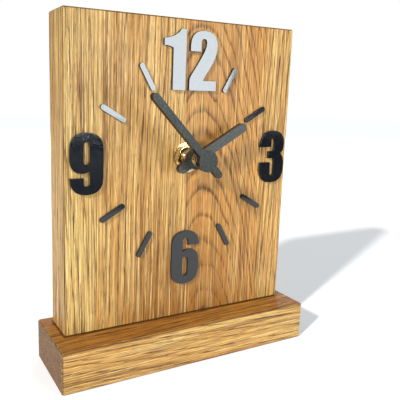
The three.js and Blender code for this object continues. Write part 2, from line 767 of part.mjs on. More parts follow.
const coilHole = box(
  COIL.x[0] - 1, COIL.x[1] + 1, STATOR.y[0] - 0.15, STATOR.y[1] + 0.15,
  coreZ - STATOR.limb / 2 - 0.15, coreZ + STATOR.limb / 2 + 0.15,
);
const wound = new THREE.CylinderGeometry(
  COIL.r - 0.5, COIL.r - 0.5, COIL.x[1] - COIL.x[0] - 2 * COIL.flange + 0.2, 20,
);
wound.rotateZ(Math.PI / 2);
wound.translate((COIL.x[0] + COIL.x[1]) / 2, coreY, coreZ);
const coilEnd = (x) => box(x, x + COIL.flange, coreY - 3.2, coreY + 3.2, coreZ - 2.6, coreZ + 2.6);
add(
  "coil",
  "copper",
  cut(join(solid(wound), coilEnd(COIL.x[0]), coilEnd(COIL.x[1] - COIL.flange)), coilHole),
  ARBOR_Z,
);

const BOARD = { x: [3, 26], y: [5.6, 6.6], z: [12, 26] };
add(
  "circuit_board",
  "board",
  join(box(...BOARD.x, ...BOARD.y, ...BOARD.z), rod([9, 18.4], 2.4, 4.8, BOARD.y[0] + 0.1, 16)),
  ARBOR_Z,
);
const can = new THREE.CylinderGeometry(1, 1, 6.2, 16);
can.rotateZ(Math.PI / 2);
can.translate(18.5, BOARD.y[0] - 1, 22.6);
add("crystal_can", "steel", solid(can), ARBOR_Z);

const cell = new THREE.LatheGeometry(
  [
    [0, 0],
    [CELL.r - 0.5, 0],
    [CELL.r, 0.5],
    [CELL.r, CELL.length - 0.6],
    [CELL.r - 0.6, CELL.length],
    [CELL.nubR, CELL.length],
    [CELL.nubR, CELL.length + CELL.nub],
    [0, CELL.length + CELL.nub],
  ].map(([r, along]) => new THREE.Vector2(r, along)),
  32,
);
cell.rotateZ(-Math.PI / 2);
cell.translate(CELL.left, CELL.y, CELL.z);
add("battery_cell", "cell_jacket", solid(cell), ARBOR_Z);

const STRIP = { t: 0.4, y: [6.6, 11.4], low: -25, high: 13 };
const plusX = CELL.left + CELL.length + CELL.nub;
const positive = join(
  box(inner - 0.2 - STRIP.t, inner - 0.2, ...STRIP.y, STRIP.low, STRIP.high),
  box(plusX + 0.05, inner - 0.2, CELL.y - 2, CELL.y + 1, CELL.z - 1.5, CELL.z + 1.5),
);
add("contact_positive", "steel", positive, ARBOR_Z);

const leaf = new THREE.Shape();
const leafX = -inner + 0.2;
leaf.moveTo(leafX, STRIP.low);
leaf.lineTo(leafX + STRIP.t, STRIP.low);
leaf.lineTo(CELL.left - 0.1, CELL.z - 2);
leaf.lineTo(CELL.left - 0.1, CELL.z + 2);
leaf.lineTo(leafX + STRIP.t, CELL.z + 6.5);
leaf.lineTo(leafX + STRIP.t, STRIP.high);
leaf.lineTo(leafX, STRIP.high);
leaf.lineTo(leafX, CELL.z + 6);
leaf.lineTo(CELL.left - 0.1 - STRIP.t, CELL.z + 1.6);
leaf.lineTo(CELL.left - 0.1 - STRIP.t, CELL.z - 1.6);
add("contact_negative", "steel", prism(leaf, ...STRIP.y), ARBOR_Z);

export default group;
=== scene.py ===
"""The looks of an oak mantel clock with acrylic figures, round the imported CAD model.

Sizes are in millimetres in the constants and in the materials, and in metres in Blender (MM turns
one into the other). The origin is the middle of the plinth's underside, +X is to the right seen
from the front, the dial faces -Y, and +Z is up.
"""

import json
import math

import bmesh
import bpy
from mathutils import Euler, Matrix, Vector


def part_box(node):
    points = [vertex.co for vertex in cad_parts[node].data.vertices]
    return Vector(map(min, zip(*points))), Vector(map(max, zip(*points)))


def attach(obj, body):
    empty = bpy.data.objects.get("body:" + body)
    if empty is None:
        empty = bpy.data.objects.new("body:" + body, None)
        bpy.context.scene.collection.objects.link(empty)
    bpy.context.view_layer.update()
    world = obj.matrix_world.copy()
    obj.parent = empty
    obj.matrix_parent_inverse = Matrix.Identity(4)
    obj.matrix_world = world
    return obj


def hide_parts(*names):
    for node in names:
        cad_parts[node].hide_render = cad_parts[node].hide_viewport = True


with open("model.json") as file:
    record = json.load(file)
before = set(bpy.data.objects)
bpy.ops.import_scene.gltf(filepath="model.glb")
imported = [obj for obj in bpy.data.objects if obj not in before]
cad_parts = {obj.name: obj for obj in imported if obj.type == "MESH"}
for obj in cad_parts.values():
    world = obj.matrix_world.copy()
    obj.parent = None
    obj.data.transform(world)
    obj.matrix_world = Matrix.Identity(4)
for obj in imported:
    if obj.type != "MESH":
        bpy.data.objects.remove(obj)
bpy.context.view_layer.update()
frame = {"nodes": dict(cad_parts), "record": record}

MM = 0.001
NODES = frame["nodes"]

# ---------------------------------------------------------------- measurements from the frame


def box_mm(node):
    """Lowest and highest corner of a CAD node, in millimetres."""
    lo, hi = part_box(node)
    return lo / MM, hi / MM


PANEL_LO, PANEL_HI = box_mm("dial_panel")
PLINTH_LO, PLINTH_HI = box_mm("plinth")
BUSHING_LO, BUSHING_HI = box_mm("threaded_bushing")
WASHER_LO, WASHER_HI = box_mm("dial_washer")
ARBOR_Z = (WASHER_LO.z + WASHER_HI.z) / 2
CELL_LO, CELL_HI = box_mm("battery_cell")
CELL_AXIS = ((CELL_LO.y + CELL_HI.y) / 2, (CELL_LO.z + CELL_HI.z) / 2)
KNOB_LO, KNOB_HI = box_mm("setting_knob")
KNOB_AT = ((KNOB_LO.x + KNOB_HI.x) / 2, (KNOB_LO.z + KNOB_HI.z) / 2)
COVER_LO, COVER_HI = box_mm("case_rear")

# ---------------------------------------------------------------- node trees


class Graph:
    """A material's node tree, with one short call for each kind of node."""

    def __init__(self, name):
        self.material = bpy.data.materials.new(name)
        self.material.use_nodes = True
        self.tree = self.material.node_tree
        self.tree.nodes.clear()
        self.shader = self.tree.nodes.new("ShaderNodeBsdfPrincipled")
        out = self.tree.nodes.new("ShaderNodeOutputMaterial")
        self.tree.links.new(self.shader.outputs[0], out.inputs[0])

    def node(self, kind, inputs=(), **settings):
        """A new node, with its inputs filled and its settings made."""
        made = self.tree.nodes.new(kind)
        for key, value in settings.items():
            setattr(made, key, value)
        for key, value in dict(inputs).items():
            self.put(made.inputs[key], value)
        return made

    def put(self, socket, value):
        """Links a socket to another one, or gives it a constant."""
        if isinstance(value, bpy.types.NodeSocket):
            self.tree.links.new(value, socket)
        else:
            socket.default_value = value

    def math(self, operation, a, b=0.0, c=0.0):
        made = self.node("ShaderNodeMath", operation=operation)
        for socket, value in zip(made.inputs, (a, b, c)):
            self.put(socket, value)
        return made.outputs[0]

    def times(self, a, b):
        return self.math("MULTIPLY", a, b)

    def plus(self, a, b):
        return self.math("ADD", a, b)

    def minus(self, a, b):
        return self.math("SUBTRACT", a, b)

    def size(self, a):
        """A number without its sign."""
        return self.math("ABSOLUTE", a)

    def reach(self, a, b):
        """Distance from the axis, for a point a and b off it."""
        squares = self.plus(self.math("POWER", a, 2.0), self.math("POWER", b, 2.0))
        return self.math("SQRT", squares)

    def total(self, *terms):
        """The sum of (socket, weight) pairs."""
        made = 0.0
        for value, weight in terms:
            made = self.math("MULTIPLY_ADD", value, weight, made)
        return made

    def millimetres(self):
        """The piece's own coordinates in millimetres, as three numbers."""
        place = self.node("ShaderNodeTexCoord").outputs["Object"]
        grown = self.node("ShaderNodeVectorMath", {0: place, "Scale": 1 / MM}, operation="SCALE")
        made = self.node("ShaderNodeSeparateXYZ", {0: grown.outputs[0]})
        return made.outputs[0], made.outputs[1], made.outputs[2]

    def join(self, x, y, z):
        return self.node("ShaderNodeCombineXYZ", {0: x, 1: y, 2: z}).outputs[0]

    def stretched(self, place, scales, offset):
        """A place scaled by its own amount on each axis, which stretches a pattern read there."""
        moved = [self.math("MULTIPLY_ADD", p, s, offset) for p, s in zip(place, scales)]
        return self.join(*moved)

    def noise(self, place, scales, detail, roughness, offset=0.0):
        """Noise with this many waves per millimetre: one number, or one for each axis. The offset
        keeps two patterns of a material from lying on each other."""
        each = scales if isinstance(scales, tuple) else (scales, scales, scales)
        vector = self.stretched(place, each, offset)
        made = self.node(
            "ShaderNodeTexNoise",
            {"Vector": vector, "Scale": 1.0, "Detail": detail, "Roughness": roughness},
        )
        return made.outputs["Fac"]

    def spread(self, value, low, high, low_to, high_to, curve="LINEAR"):
        """A slope: low_to where value is under low, and high_to where it is over high."""
        made = self.node("ShaderNodeMapRange", {"Value": value}, interpolation_type=curve)
        limits = {"From Min": low, "From Max": high, "To Min": low_to, "To Max": high_to}
        for name, limit in limits.items():
            self.put(made.inputs[name], limit)
        return made.outputs["Result"]

    def band(self, value, low, high, low_to=0.0, high_to=1.0):
        """The same as spread, but as a smooth step."""
        return self.spread(value, low, high, low_to, high_to, curve="SMOOTHSTEP")

    def ramp(self, value, stops):
        """A curve through (place, level) stops."""
        made = self.node("ShaderNodeValToRGB", {"Fac": value})
        points = made.color_ramp.elements
        for _ in stops[2:]:
            points.new(0.5)
        for point, (at, level) in zip(points, stops):
            point.position = at
            point.color = (level, level, level, 1)
        return made.outputs["Color"]

    def mix(self, amount, low, high, blend="MIX"):
        """A color between low and high."""
        made = self.node("ShaderNodeMix", data_type="RGBA", blend_type=blend)
        for name, value in (("Factor_Float", amount), ("A_Color", low), ("B_Color", high)):
            socket = next(s for s in made.inputs if s.identifier == name)
            self.put(socket, (*value, 1) if isinstance(value, tuple) else value)
        return next(s for s in made.outputs if s.identifier == "Result_Color")

    def choose(self, amount, low, high):
        """A number between low and high."""
        made = self.node("ShaderNodeMix", data_type="FLOAT")
        for name, value in (("Factor_Float", amount), ("A_Float", low), ("B_Float", high)):
            socket = next(s for s in made.inputs if s.identifier == name)
            self.put(socket, value)
        return next(s for s in made.outputs if s.identifier == "Result_Float")

    def facing(self, axis):
        """How far the surface faces along an axis, either way: 1 where it faces it squarely."""
        normal = self.node("ShaderNodeTexCoord").outputs["Normal"]
        made = self.node("ShaderNodeVectorMath", {0: normal, 1: axis}, operation="DOT_PRODUCT")
        return self.size(made.outputs["Value"])

    def bump(self, height, distance_mm, strength):
        """Small relief: how far it stands up, and how strongly it shows."""
        made = self.node(
            "ShaderNodeBump",
            {"Height": height, "Distance": distance_mm * MM, "Strength": strength},
        )
        self.put(self.shader.inputs["Normal"], made.outputs[0])

    def finish(self, color, roughness, constants=()):
        """Fills the shader, with its constants by the names of their sockets."""
        whole = (*color, 1) if isinstance(color, tuple) else color
        self.put(self.shader.inputs["Base Color"], whole)
        self.put(self.shader.inputs["Roughness"], roughness)
        for name, value in dict(constants).items():
            self.shader.inputs[name].default_value = value
        return self.material


# ---------------------------------------------------------------- oak

# Linear colours of the clear wood, its silver grain, growth lines, open pores and heartwood.
OAK_LIGHT = (0.84, 0.61, 0.25)
OAK_PALE = (0.68, 0.455, 0.142)
OAK_GOLD = (0.62, 0.285, 0.060)
OAK_BROWN = (0.175, 0.066, 0.011)
OAK_PORE = (0.065, 0.022, 0.005)
OAK_HEART = (0.36, 0.150, 0.026)
# What the colour is multiplied by: on end grain; and, as painted shade, on the top and underside
# of a lying board, and on the sides of a standing one.
OAK_END = (0.33, 0.28, 0.29)
OAK_TOP_PAINTED_SHADE = (0.76, 0.54, 0.30)
OAK_SIDE_PAINTED_SHADE = (0.80, 0.77, 0.74)

# Each: waves per millimetre across, into and along the board, then detail, roughness and offset.
OAK_PATTERNS = {
    "wander": ((0.02, 0.02, 0.009), 2.0, 0.5, 0.0),
    "ripple": ((0.16, 0.16, 0.035), 3.0, 0.55, 31.0),
    "pores": ((2.8, 2.8, 0.11), 2.0, 0.6, 0.0),
    "vessels": ((1.8, 1.8, 0.032), 1.0, 0.5, 61.0),
    "fine": ((4.2, 4.2, 0.22), 3.0, 0.65, 7.0),
    "fibres": ((2.2, 2.2, 0.03), 2.0, 0.6, 13.0),
    "streaks": ((0.30, 0.30, 0.009), 2.0, 0.55, 19.0),
    "lines": ((1.8, 1.8, 0.011), 1.0, 0.5, 57.0),
    "silver": ((1.5, 1.5, 0.018), 1.0, 0.5, 71.0),
    "clouds": ((0.035, 0.035, 0.014), 2.0, 0.5, 43.0),
}
# A ring's earlywood: how much there is at each part of the way from one ring to the next.
EARLYWOOD = [(0.0, 0.4), (0.04, 1.0), (0.14, 0.4), (0.32, 0.0), (0.94, 0.0), (1.0, 0.4)]
# How squarely a face has to look along an axis to count as facing it, from not at all to fully.
WOOD_FACING = (0.6, 0.9)
# Millimetres to each side of a glued joint in which one board's wood turns into the next one's.
GLUE_LINE = 0.2
# Millimetres from an edge, and from the foot of a board that stands on this one, within which the
# wood is darkened as painted shade: fully, and at all.
EDGE_PAINTED_SHADE = (0.35, 0.85)
FOOT_PAINTED_SHADE = (0.2, 0.9)


def past_sides(g, place, low, high):
    """For each axis, how far a point is outside a box, below 0 where it is inside."""
    return [
        g.minus(g.size(g.minus(p, (lo + hi) / 2)), (hi - lo) / 2)
        for p, lo, hi in zip(place, low, high)
    ]


def box_edge(g, place, low, high):
    """Distance from the nearest edge of a box, for a point on its faces: the middle one of the
    three distances from its sides."""
    a, b, c = [g.times(past, -1.0) for past in past_sides(g, place, low, high)]
    least, most = g.math("MINIMUM", a, b), g.math("MAXIMUM", a, b)
    return g.math("MAXIMUM", least, g.math("MINIMUM", most, c))


def oak(name, grain, pieces, box, heart=None, stood_on=None):
    """Oak, cut from a log as real boards are.

    grain is "z" or "x", the way the fibres run. pieces are the boards that are glued side by
    side, each (joint, lean, pith, drift, ring, redness): where it starts across the face at the
    middle of the board, how far that joint leans per millimetre along the grain, where its
    pith is across and behind the face, how the pith drifts, the width of a growth ring, and how
    red the board is. heart is where the darker heartwood comes to the face: its middle and half
    width across, and the heights along the grain between which it fades out. stood_on is the box
    of a board that stands on this one; a line of painted shade goes round its foot.
    """
    g = Graph(name)
    x, y, z = place = g.millimetres()
    across, depth, along = (x, y, z) if grain == "z" else (z, y, x)
    board = (across, depth, along)

    def of_board(values):
        """The value of the glued board that this point is in."""
        chosen = values[0]
        for (joint, lean, *_), value in zip(pieces[1:], values[1:]):
            line = g.math("MULTIPLY_ADD", along, lean, joint)
            past = g.band(g.minus(across, line), -GLUE_LINE, GLUE_LINE)
            chosen = g.choose(past, chosen, value)
        return chosen

    def offset_of(values, p, slopes):
        """Distance from the drifting pith, on one axis."""
        start = g.minus(p, of_board(values))
        return g.minus(start, g.times(along, of_board(slopes)))

    pattern = {name: g.noise(board, *values) for name, values in OAK_PATTERNS.items()}
    ripple, fine, fibres = pattern["ripple"], pattern["fine"], pattern["fibres"]
    streaks, clouds = pattern["streaks"], pattern["clouds"]
    _, _, pith, drift, ring_width, red = zip(*pieces)

    # The log isn't a true cone: it wanders widely, and ripples a little.
    bend = g.total((pattern["wander"], 11.0), (ripple, 1.6))
    from_u = g.plus(offset_of([p[0] for p in pith], across, [d[0] for d in drift]), bend)
    from_v = offset_of([p[1] for p in pith], depth, [d[1] for d in drift])
    radius = g.plus(g.reach(from_u, from_v), ripple)
    rings = g.math("DIVIDE", radius, of_board(ring_width))
    uneven = g.node(
        "ShaderNodeTexNoise", {"W": rings, "Scale": 0.6, "Detail": 1.0}, noise_dimensions="1D"
    ).outputs["Fac"]
    in_ring = g.math("FRACT", g.math("MULTIPLY_ADD", uneven, 0.9, rings))
    earlywood = g.ramp(in_ring, EARLYWOOD)

    # Open pores run with the grain, thickest in the earlywood of each ring.
    early = g.spread(earlywood, 0.0, 0.6, 0.45, 1.0)
    pores = g.times(g.band(pattern["pores"], 0.53, 0.58), early)
    vessels = g.times(g.band(pattern["vessels"], 0.54, 0.585), early)
    # Dark lines are strongest in the streaks. Pale silver grain has a pattern of its own.
    in_streak = g.spread(streaks, 0.36, 0.64, 0.3, 1.0)
    lines = g.times(g.band(pattern["lines"], 0.53, 0.58), in_streak)
    silver = g.band(pattern["silver"], 0.53, 0.61)

    # Rays are thin sheets from the pith outwards: short dashes on the face, flecks on the sides.
    turn = g.times(g.math("ARCTAN2", from_u, from_v), 70.0)
    rays = g.noise((turn, radius, along), (1.15, 0.05, 0.16), 2.0, 0.5, offset=5.0)
    dashes = g.band(rays, 0.60, 0.70)

    redness = of_board(red)

    def by_redness(pale, deep):
        """A number that goes from pale in a pale board to deep in a red one."""
        return g.spread(redness, 0.0, 1.0, pale, deep)

    figure = g.times(earlywood, by_redness(0.25, 0.62))
    shade = g.total((figure, 1.0), (streaks, 0.5), (fibres, 0.7), (clouds, 0.3), (fine, 0.4))
    shade = g.band(shade, 0.76, 1.42)
    clear = g.mix(redness, OAK_PALE, OAK_GOLD)
    warm = g.mix(g.band(clouds, 0.42, 0.62, 0.0, 0.45), clear, OAK_GOLD)
    wood = g.mix(g.times(shade, 0.68), warm, OAK_BROWN)
    if heart:
        (at, half), (foot, top) = heart
        beside = g.band(g.size(g.minus(across, at)), half * 0.3, half, 1.0, 0.0)
        near = g.times(beside, g.band(along, foot, top, 1.0, 0.0))
        wood = g.mix(g.times(near, 0.85), wood, OAK_HEART)
    wood = g.mix(g.times(silver, by_redness(0.75, 0.35)), wood, OAK_LIGHT)
    wood = g.mix(g.times(lines, by_redness(0.85, 0.6)), wood, OAK_BROWN)
    wood = g.mix(g.times(dashes, 0.25), wood, OAK_BROWN)
    wood = g.mix(g.times(vessels, 0.8), wood, OAK_PORE)
    wood = g.mix(g.times(pores, 0.72), wood, OAK_PORE)
    # Painted shade: the faces at right angles to the front are made darker, the sides of a standing
    # board and the top and underside of a lying one.
    away, tint = ((1, 0, 0), OAK_SIDE_PAINTED_SHADE) if grain == "z" else ((0, 0, 1), OAK_TOP_PAINTED_SHADE)
    painted_face_shade = g.band(g.facing(away), *WOOD_FACING)
    wood = g.mix(painted_face_shade, wood, g.mix(1.0, wood, tint, blend="MULTIPLY"))

    end = g.band(g.facing((0, 0, 1) if grain == "z" else (1, 0, 0)), *WOOD_FACING)
    wood = g.mix(end, wood, g.mix(1.0, wood, OAK_END, blend="MULTIPLY"))
    # Painted shade: the wood is darkened along the board's edges and round the foot of a board that
    # stands on it.
    painted_edge_and_foot_shade = g.band(box_edge(g, place, *box), *EDGE_PAINTED_SHADE, 1.0, 0.0)
    if stood_on:
        outside = g.math("MAXIMUM", *past_sides(g, place[:2], *stood_on))
        painted_edge_and_foot_shade = g.math("MAXIMUM", painted_edge_and_foot_shade, g.band(outside, *FOOT_PAINTED_SHADE, 1.0, 0.0))
    wood = g.mix(g.times(painted_edge_and_foot_shade, 0.72), wood, OAK_PORE)

    rough = g.total((pores, 0.22), (fine, 0.12), (earlywood, 0.05), (end, 0.12))
    g.bump(g.total((pores, -1.0), (vessels, -0.8), (fine, 0.35), (fibres, 0.25)), 0.14, 0.6)
    oiled = {"Specular IOR Level": 0.28, "Coat Weight": 0.05, "Coat Roughness": 0.3}
    return g.finish(wood, g.plus(rough, 0.36), oiled)


# Each: joint, lean, (pith across, pith behind), (drift across, drift behind), ring, redness.
PANEL_BOARDS = [
    (-99.0, 0.0, (-10.0, 34.0), (-0.10, 0.02), 2.6, 0.05),
    (-48.6, 0.034, (-84.0, 44.0), (0.07, 0.03), 2.4, 0.55),
    (3.4, -0.039, (21.0, 20.0), (-0.055, 0.16), 2.1, 1.0),
    (45.5, 0.0, (118.0, 40.0), (0.02, 0.03), 2.4, 0.5),
]
# Middle and half width across the panel, and the heights between which it fades out.
PANEL_HEART = ((4.0, 52.0), (38.0, 92.0))
PLINTH_BOARDS = [(-99.0, 0.0, (-34.0, 30.0), (0.015, 0.10), 2.5, 0.35)]

# ---------------------------------------------------------------- the other materials

ACRYLIC_FACING = (0.75, 0.95)


def gloss_black():
    """Polished black acrylic, with faint orange peel, dust and hairline scratches."""
    g = Graph("gloss_black_acrylic")
    place = g.millimetres()
    peel = g.noise(place, 0.9, 2.0, 0.5)
    dust = g.band(g.noise(place, 1.7, 3.0, 0.65, offset=11.0), 0.52, 0.72)
    hairs = g.band(g.noise(place, (0.7, 0.7, 6.0), 1.0, 0.5, offset=3.0), 0.60, 0.70)
    color = g.mix(g.times(dust, 0.10), (0.0030, 0.0040, 0.0065), (0.05, 0.056, 0.064))
    face = g.band(g.facing((0, 1, 0)), *ACRYLIC_FACING)
    # Painted shade: the cut sides are given a darker colour than the faces.
    color = g.mix(face, (0.0015, 0.0015, 0.002), color)
    polish = g.total((peel, 0.07), (dust, 0.10), (hairs, 0.05), (1.0, 0.035))
    g.bump(g.total((peel, 1.0), (dust, 0.25), (hairs, -0.1)), 0.012, 0.5)
    return g.finish(color, g.choose(face, 0.5, polish), {"IOR": 1.5, "Specular IOR Level": 0.75})


def hand_black(name, shine):
    """Satin black acrylic: fine rubbed grain on the faces, smooth on the cut edges."""
    g = Graph(name)
    place = g.millimetres()
    face = g.band(g.facing((0, 1, 0)), *ACRYLIC_FACING)
    grain = g.noise(place, 2.6, 3.0, 0.65)
    cloud = g.noise(place, 0.12, 2.0, 0.5, offset=9.0)
    flecks_and_painted_glints = g.band(g.noise(place, 1.5, 2.0, 0.6, offset=23.0), 0.48, 0.66)
    color = g.mix(g.band(grain, 0.35, 0.7), (0.012, 0.014, 0.012), (0.034, 0.039, 0.034))
    # Painted highlight: pale glints mixed into the colour; the same flecks stand up a little in the
    # bump.
    color = g.mix(g.times(flecks_and_painted_glints, 0.6), color, (0.085, 0.094, 0.080))
    color = g.mix(face, (0.014, 0.008, 0.006), color)
    rubbed = g.total((grain, 0.20), (cloud, 0.16), (1.0, 0.20))
    g.bump(g.total((grain, 1.0), (flecks_and_painted_glints, 0.8)), 0.03, 0.5)
    return g.finish(
        color, g.choose(face, 0.16, rubbed), {"IOR": 1.49, "Specular IOR Level": shine}
    )


def turned_metal(name, bright, dull, smooth, lines_mm, tarnish=0.3):
    """Metal turned on a lathe: rings round the arbor's axis, with a little tarnish, and rings of
    painted reflection in the colour.
    """
    g = Graph(name)
    x, y, z = place = g.millimetres()
    cut = g.plus(g.reach(x, g.minus(z, ARBOR_Z)), g.times(y, 0.9))
    rings = g.node(
        "ShaderNodeTexNoise",
        {"W": cut, "Scale": 1 / lines_mm, "Detail": 3.0, "Roughness": 0.7},
        noise_dimensions="1D",
    ).outputs["Fac"]
    blotch = g.noise(place, 0.5, 3.0, 0.6)
    spots = g.band(g.noise(place, 2.2, 2.0, 0.5, offset=17.0), 0.60, 0.72)
    # Painted reflection: darker lines along the turning rings, mixed into the colour with the
    # tarnish.
    painted_ring_lines = g.band(rings, 0.50, 0.42)
    tarnish_and_painted_lines = g.total((g.band(blotch, 0.45, 0.7), tarnish), (spots, 0.25), (painted_ring_lines, 0.45))
    color = g.mix(tarnish_and_painted_lines, bright, dull)
    rough = g.total((rings, 0.12), (tarnish_and_painted_lines, 0.22))
    g.bump(g.total((rings, 1.0), (spots, -0.4)), 0.012, 0.3)
    return g.finish(color, g.plus(rough, smooth), {"Metallic": 1.0})


def rolled_metal(name, bright, dull, smooth):
    """Rolled or drawn sheet metal, brushed along X."""
    g = Graph(name)
    place = g.millimetres()
    brushed = g.noise(place, (0.25, 3.4, 3.4), 3.0, 0.7)
    blotch = g.noise(place, 0.3, 3.0, 0.6, offset=21.0)
    color = g.mix(g.band(blotch, 0.4, 0.7), bright, dull)
    rough = g.total((brushed, 0.18), (blotch, 0.12))
    g.bump(brushed, 0.015, 0.4)
    return g.finish(color, g.plus(rough, smooth), {"Metallic": 1.0})


DUST = (0.32, 0.29, 0.25)


def moulded(name, color, shine, grain_mm=0.35, dusty=0.35):
    """Injection-moulded plastic with a spark-eroded grain and a little dust."""
    g = Graph(name)
    place = g.millimetres()
    pebble = g.node(
        "ShaderNodeTexVoronoi", {"Vector": g.join(*place), "Scale": 1 / grain_mm}
    ).outputs["Distance"]
    soft = g.noise(place, 0.12, 3.0, 0.55)
    specks = g.band(g.noise(place, 2.4, 2.0, 0.6, offset=5.0), 0.62, 0.75)
    pale = tuple(min(1.0, c * 1.5 + 0.02) for c in color)
    mixed = g.mix(g.band(soft, 0.3, 0.75, 0.0, 0.5), color, pale)
    mixed = g.mix(g.times(specks, dusty), mixed, DUST)
    rough = g.total((pebble, 0.18), (soft, 0.14), (specks, 0.15))
    g.bump(g.total((pebble, 1.0), (specks, 0.4)), 0.03, 0.5)
    return g.finish(mixed, g.plus(rough, shine))


def wave(g, value, length):
    """A sine wave of this length."""
    return g.math("SINE", g.times(value, 2 * math.pi / length))


# Spacing of the coil's turns, and of the circuit board's weave and tracks.
WIRE, WEAVE, TRACKS = 0.22, 0.7, 2.6


def winding():
    """Enamelled copper wire, wound in turns along X, with painted shade and highlight on each turn.
    """
    g = Graph("copper_winding")
    place = g.millimetres()
    turns = wave(g, place[0], WIRE)
    blotch = g.noise(place, 0.8, 2.0, 0.5)
    # Painted shade and highlight: each turn is bright along its middle and darker where it meets
    # the next.
    color = g.mix(g.band(turns, -1.0, 1.0), (0.30, 0.085, 0.03), (0.74, 0.30, 0.13))
    color = g.mix(g.band(blotch, 0.45, 0.7, 0.0, 0.4), color, (0.22, 0.06, 0.025))
    g.bump(turns, 0.05, 0.8)
    return g.finish(color, g.spread(blotch, 0.3, 0.7, 0.22, 0.4), {"Metallic": 0.85})


def soldermask():
    """A circuit board: green mask over a weave, with tracks under it."""
    g = Graph("soldermask")
    x, _, z = g.millimetres()
    weave = g.times(wave(g, x, WEAVE), wave(g, z, WEAVE))
    tracks = g.band(wave(g, g.plus(x, z), TRACKS), 0.45, 0.6)
    color = g.mix(g.times(tracks, 0.6), (0.02, 0.12, 0.045), (0.06, 0.26, 0.10))
    color = g.mix(g.band(weave, -1.0, 1.0, 0.0, 0.15), color, (0.10, 0.30, 0.12))
    g.bump(g.total((tracks, 1.0), (weave, 0.2)), 0.04, 0.5)
    return g.finish(color, g.spread(weave, -1.0, 1.0, 0.25, 0.36))


# Rings on the battery's jacket: how far in from the cell's end, and half how wide.
WIDE_RING, GREY_RING, NARROW_RING = (9.0, 2.2), (13.0, 0.35), (5.0, 0.5)
RING_BLUR = 0.15


def cell_jacket():
    """A plain battery jacket: green film with two pale rings and a grey one."""
    g = Graph("cell_jacket")
    place = g.millimetres()

    def ring(end, inwards, size):
        """A ring printed round the jacket, so far in from one end."""
        inset, half = size
        beside = g.size(g.minus(place[0], end + inwards * inset))
        return g.band(beside, half, half + RING_BLUR, 1.0, 0.0)

    wide, narrow = ring(CELL_HI.x, -1, WIDE_RING), ring(CELL_LO.x, 1, NARROW_RING)
    pale = g.math("MAXIMUM", wide, narrow)
    grey = ring(CELL_HI.x, -1, GREY_RING)
    scuff = g.noise(place, (0.5, 1.4, 1.4), 4.0, 0.7, offset=3.0)
    wrap = g.mix(g.band(scuff, 0.35, 0.7), (0.018, 0.085, 0.05), (0.035, 0.14, 0.085))
    wrap = g.mix(pale, wrap, (0.62, 0.63, 0.58))
    wrap = g.mix(grey, wrap, (0.45, 0.46, 0.44))
    g.bump(scuff, 0.03, 0.4)
    return g.finish(wrap, g.spread(scuff, 0.3, 0.7, 0.2, 0.38), {"Metallic": 0.25})


BRASS_BRIGHT, BRASS_DULL = (0.95, 0.76, 0.44), (0.60, 0.38, 0.13)
STEEL_BRIGHT, STEEL_DULL = (0.72, 0.72, 0.73), (0.46, 0.45, 0.44)

MATERIALS = {
    "gloss_black": gloss_black(),
    "hand_black": hand_black("satin_black_acrylic", 0.5),
    "brass": turned_metal("turned_brass", BRASS_BRIGHT, BRASS_DULL, 0.07, 0.3),
    "steel": rolled_metal("plated_steel", STEEL_BRIGHT, STEEL_DULL, 0.14),
    "copper": winding(),
    "rubber": moulded("rubber", (0.022, 0.022, 0.023), 0.62, grain_mm=0.25),
    "black_plastic": moulded("black_moulding", (0.022, 0.022, 0.024), 0.38),
    "white_plastic": moulded("white_moulding", (0.66, 0.65, 0.60), 0.36, dusty=0.15),
    "board": soldermask(),
    "cell_jacket": cell_jacket(),
}
TURNED_STEEL = turned_metal("turned_steel", STEEL_BRIGHT, STEEL_DULL, 0.12, 0.12, tarnish=0.15)
PANEL_OAK = oak("oak_upright", "z", PANEL_BOARDS, (PANEL_LO, PANEL_HI), heart=PANEL_HEART)
PLINTH_OAK = oak(
    "oak_lying", "x", PLINTH_BOARDS, (PLINTH_LO, PLINTH_HI),
    stood_on=(PANEL_LO.xy, PANEL_HI.xy),
)

SLOT_OF = {p["node"]: p["material_slot"] for p in frame["record"]["subparts"]}
OWN_MATERIAL = {
    "dial_panel": PANEL_OAK,
    "plinth": PLINTH_OAK,
    "minute_arbor": TURNED_STEEL,
    "minute_hand": hand_black("dull_black_acrylic", 0.24),
}

# ---------------------------------------------------------------- meshes


def smooth_by_angle(limit_deg):
    """A modifier's node group that shades smooth, and sharp over edges steeper than the limit."""
    group = bpy.data.node_groups.new("smooth_by_angle", "GeometryNodeTree")
    group.interface.new_socket("Geometry", in_out="INPUT", socket_type="NodeSocketGeometry")
    group.interface.new_socket("Geometry", in_out="OUTPUT", socket_type="NodeSocketGeometry")
    entry = group.nodes.new("NodeGroupInput")
    leave = group.nodes.new("NodeGroupOutput")
    faces = group.nodes.new("GeometryNodeSetShadeSmooth")
    faces.domain = "FACE"
    edges = group.nodes.new("GeometryNodeSetShadeSmooth")
    edges.domain = "EDGE"
    edges.inputs["Shade Smooth"].default_value = False
    angle = group.nodes.new("GeometryNodeInputMeshEdgeAngle")
    steep = group.nodes.new("FunctionNodeCompare")
    steep.operation = "GREATER_THAN"
    steep.inputs["B"].default_value = math.radians(limit_deg)
    join = group.links.new
    join(entry.outputs[0], faces.inputs["Geometry"])
    join(faces.outputs[0], edges.inputs["Geometry"])
    join(angle.outputs["Unsigned Angle"], steep.inputs["A"])
    join(steep.outputs[0], edges.inputs["Selection"])
    join(edges.outputs[0], leave.inputs[0])
    return group


SHARP_OVER_DEG = 32
ROUNDED_OVER_DEG = 33
FLAT_UNDER_DEG = 0.5
WELD_MM = 0.002
ROUNDING_STEPS = 2
# The largest of the faces that meet at a corner decides its normal.
LARGEST_FACE_WINS = 100

SHADING = smooth_by_angle(SHARP_OVER_DEG)


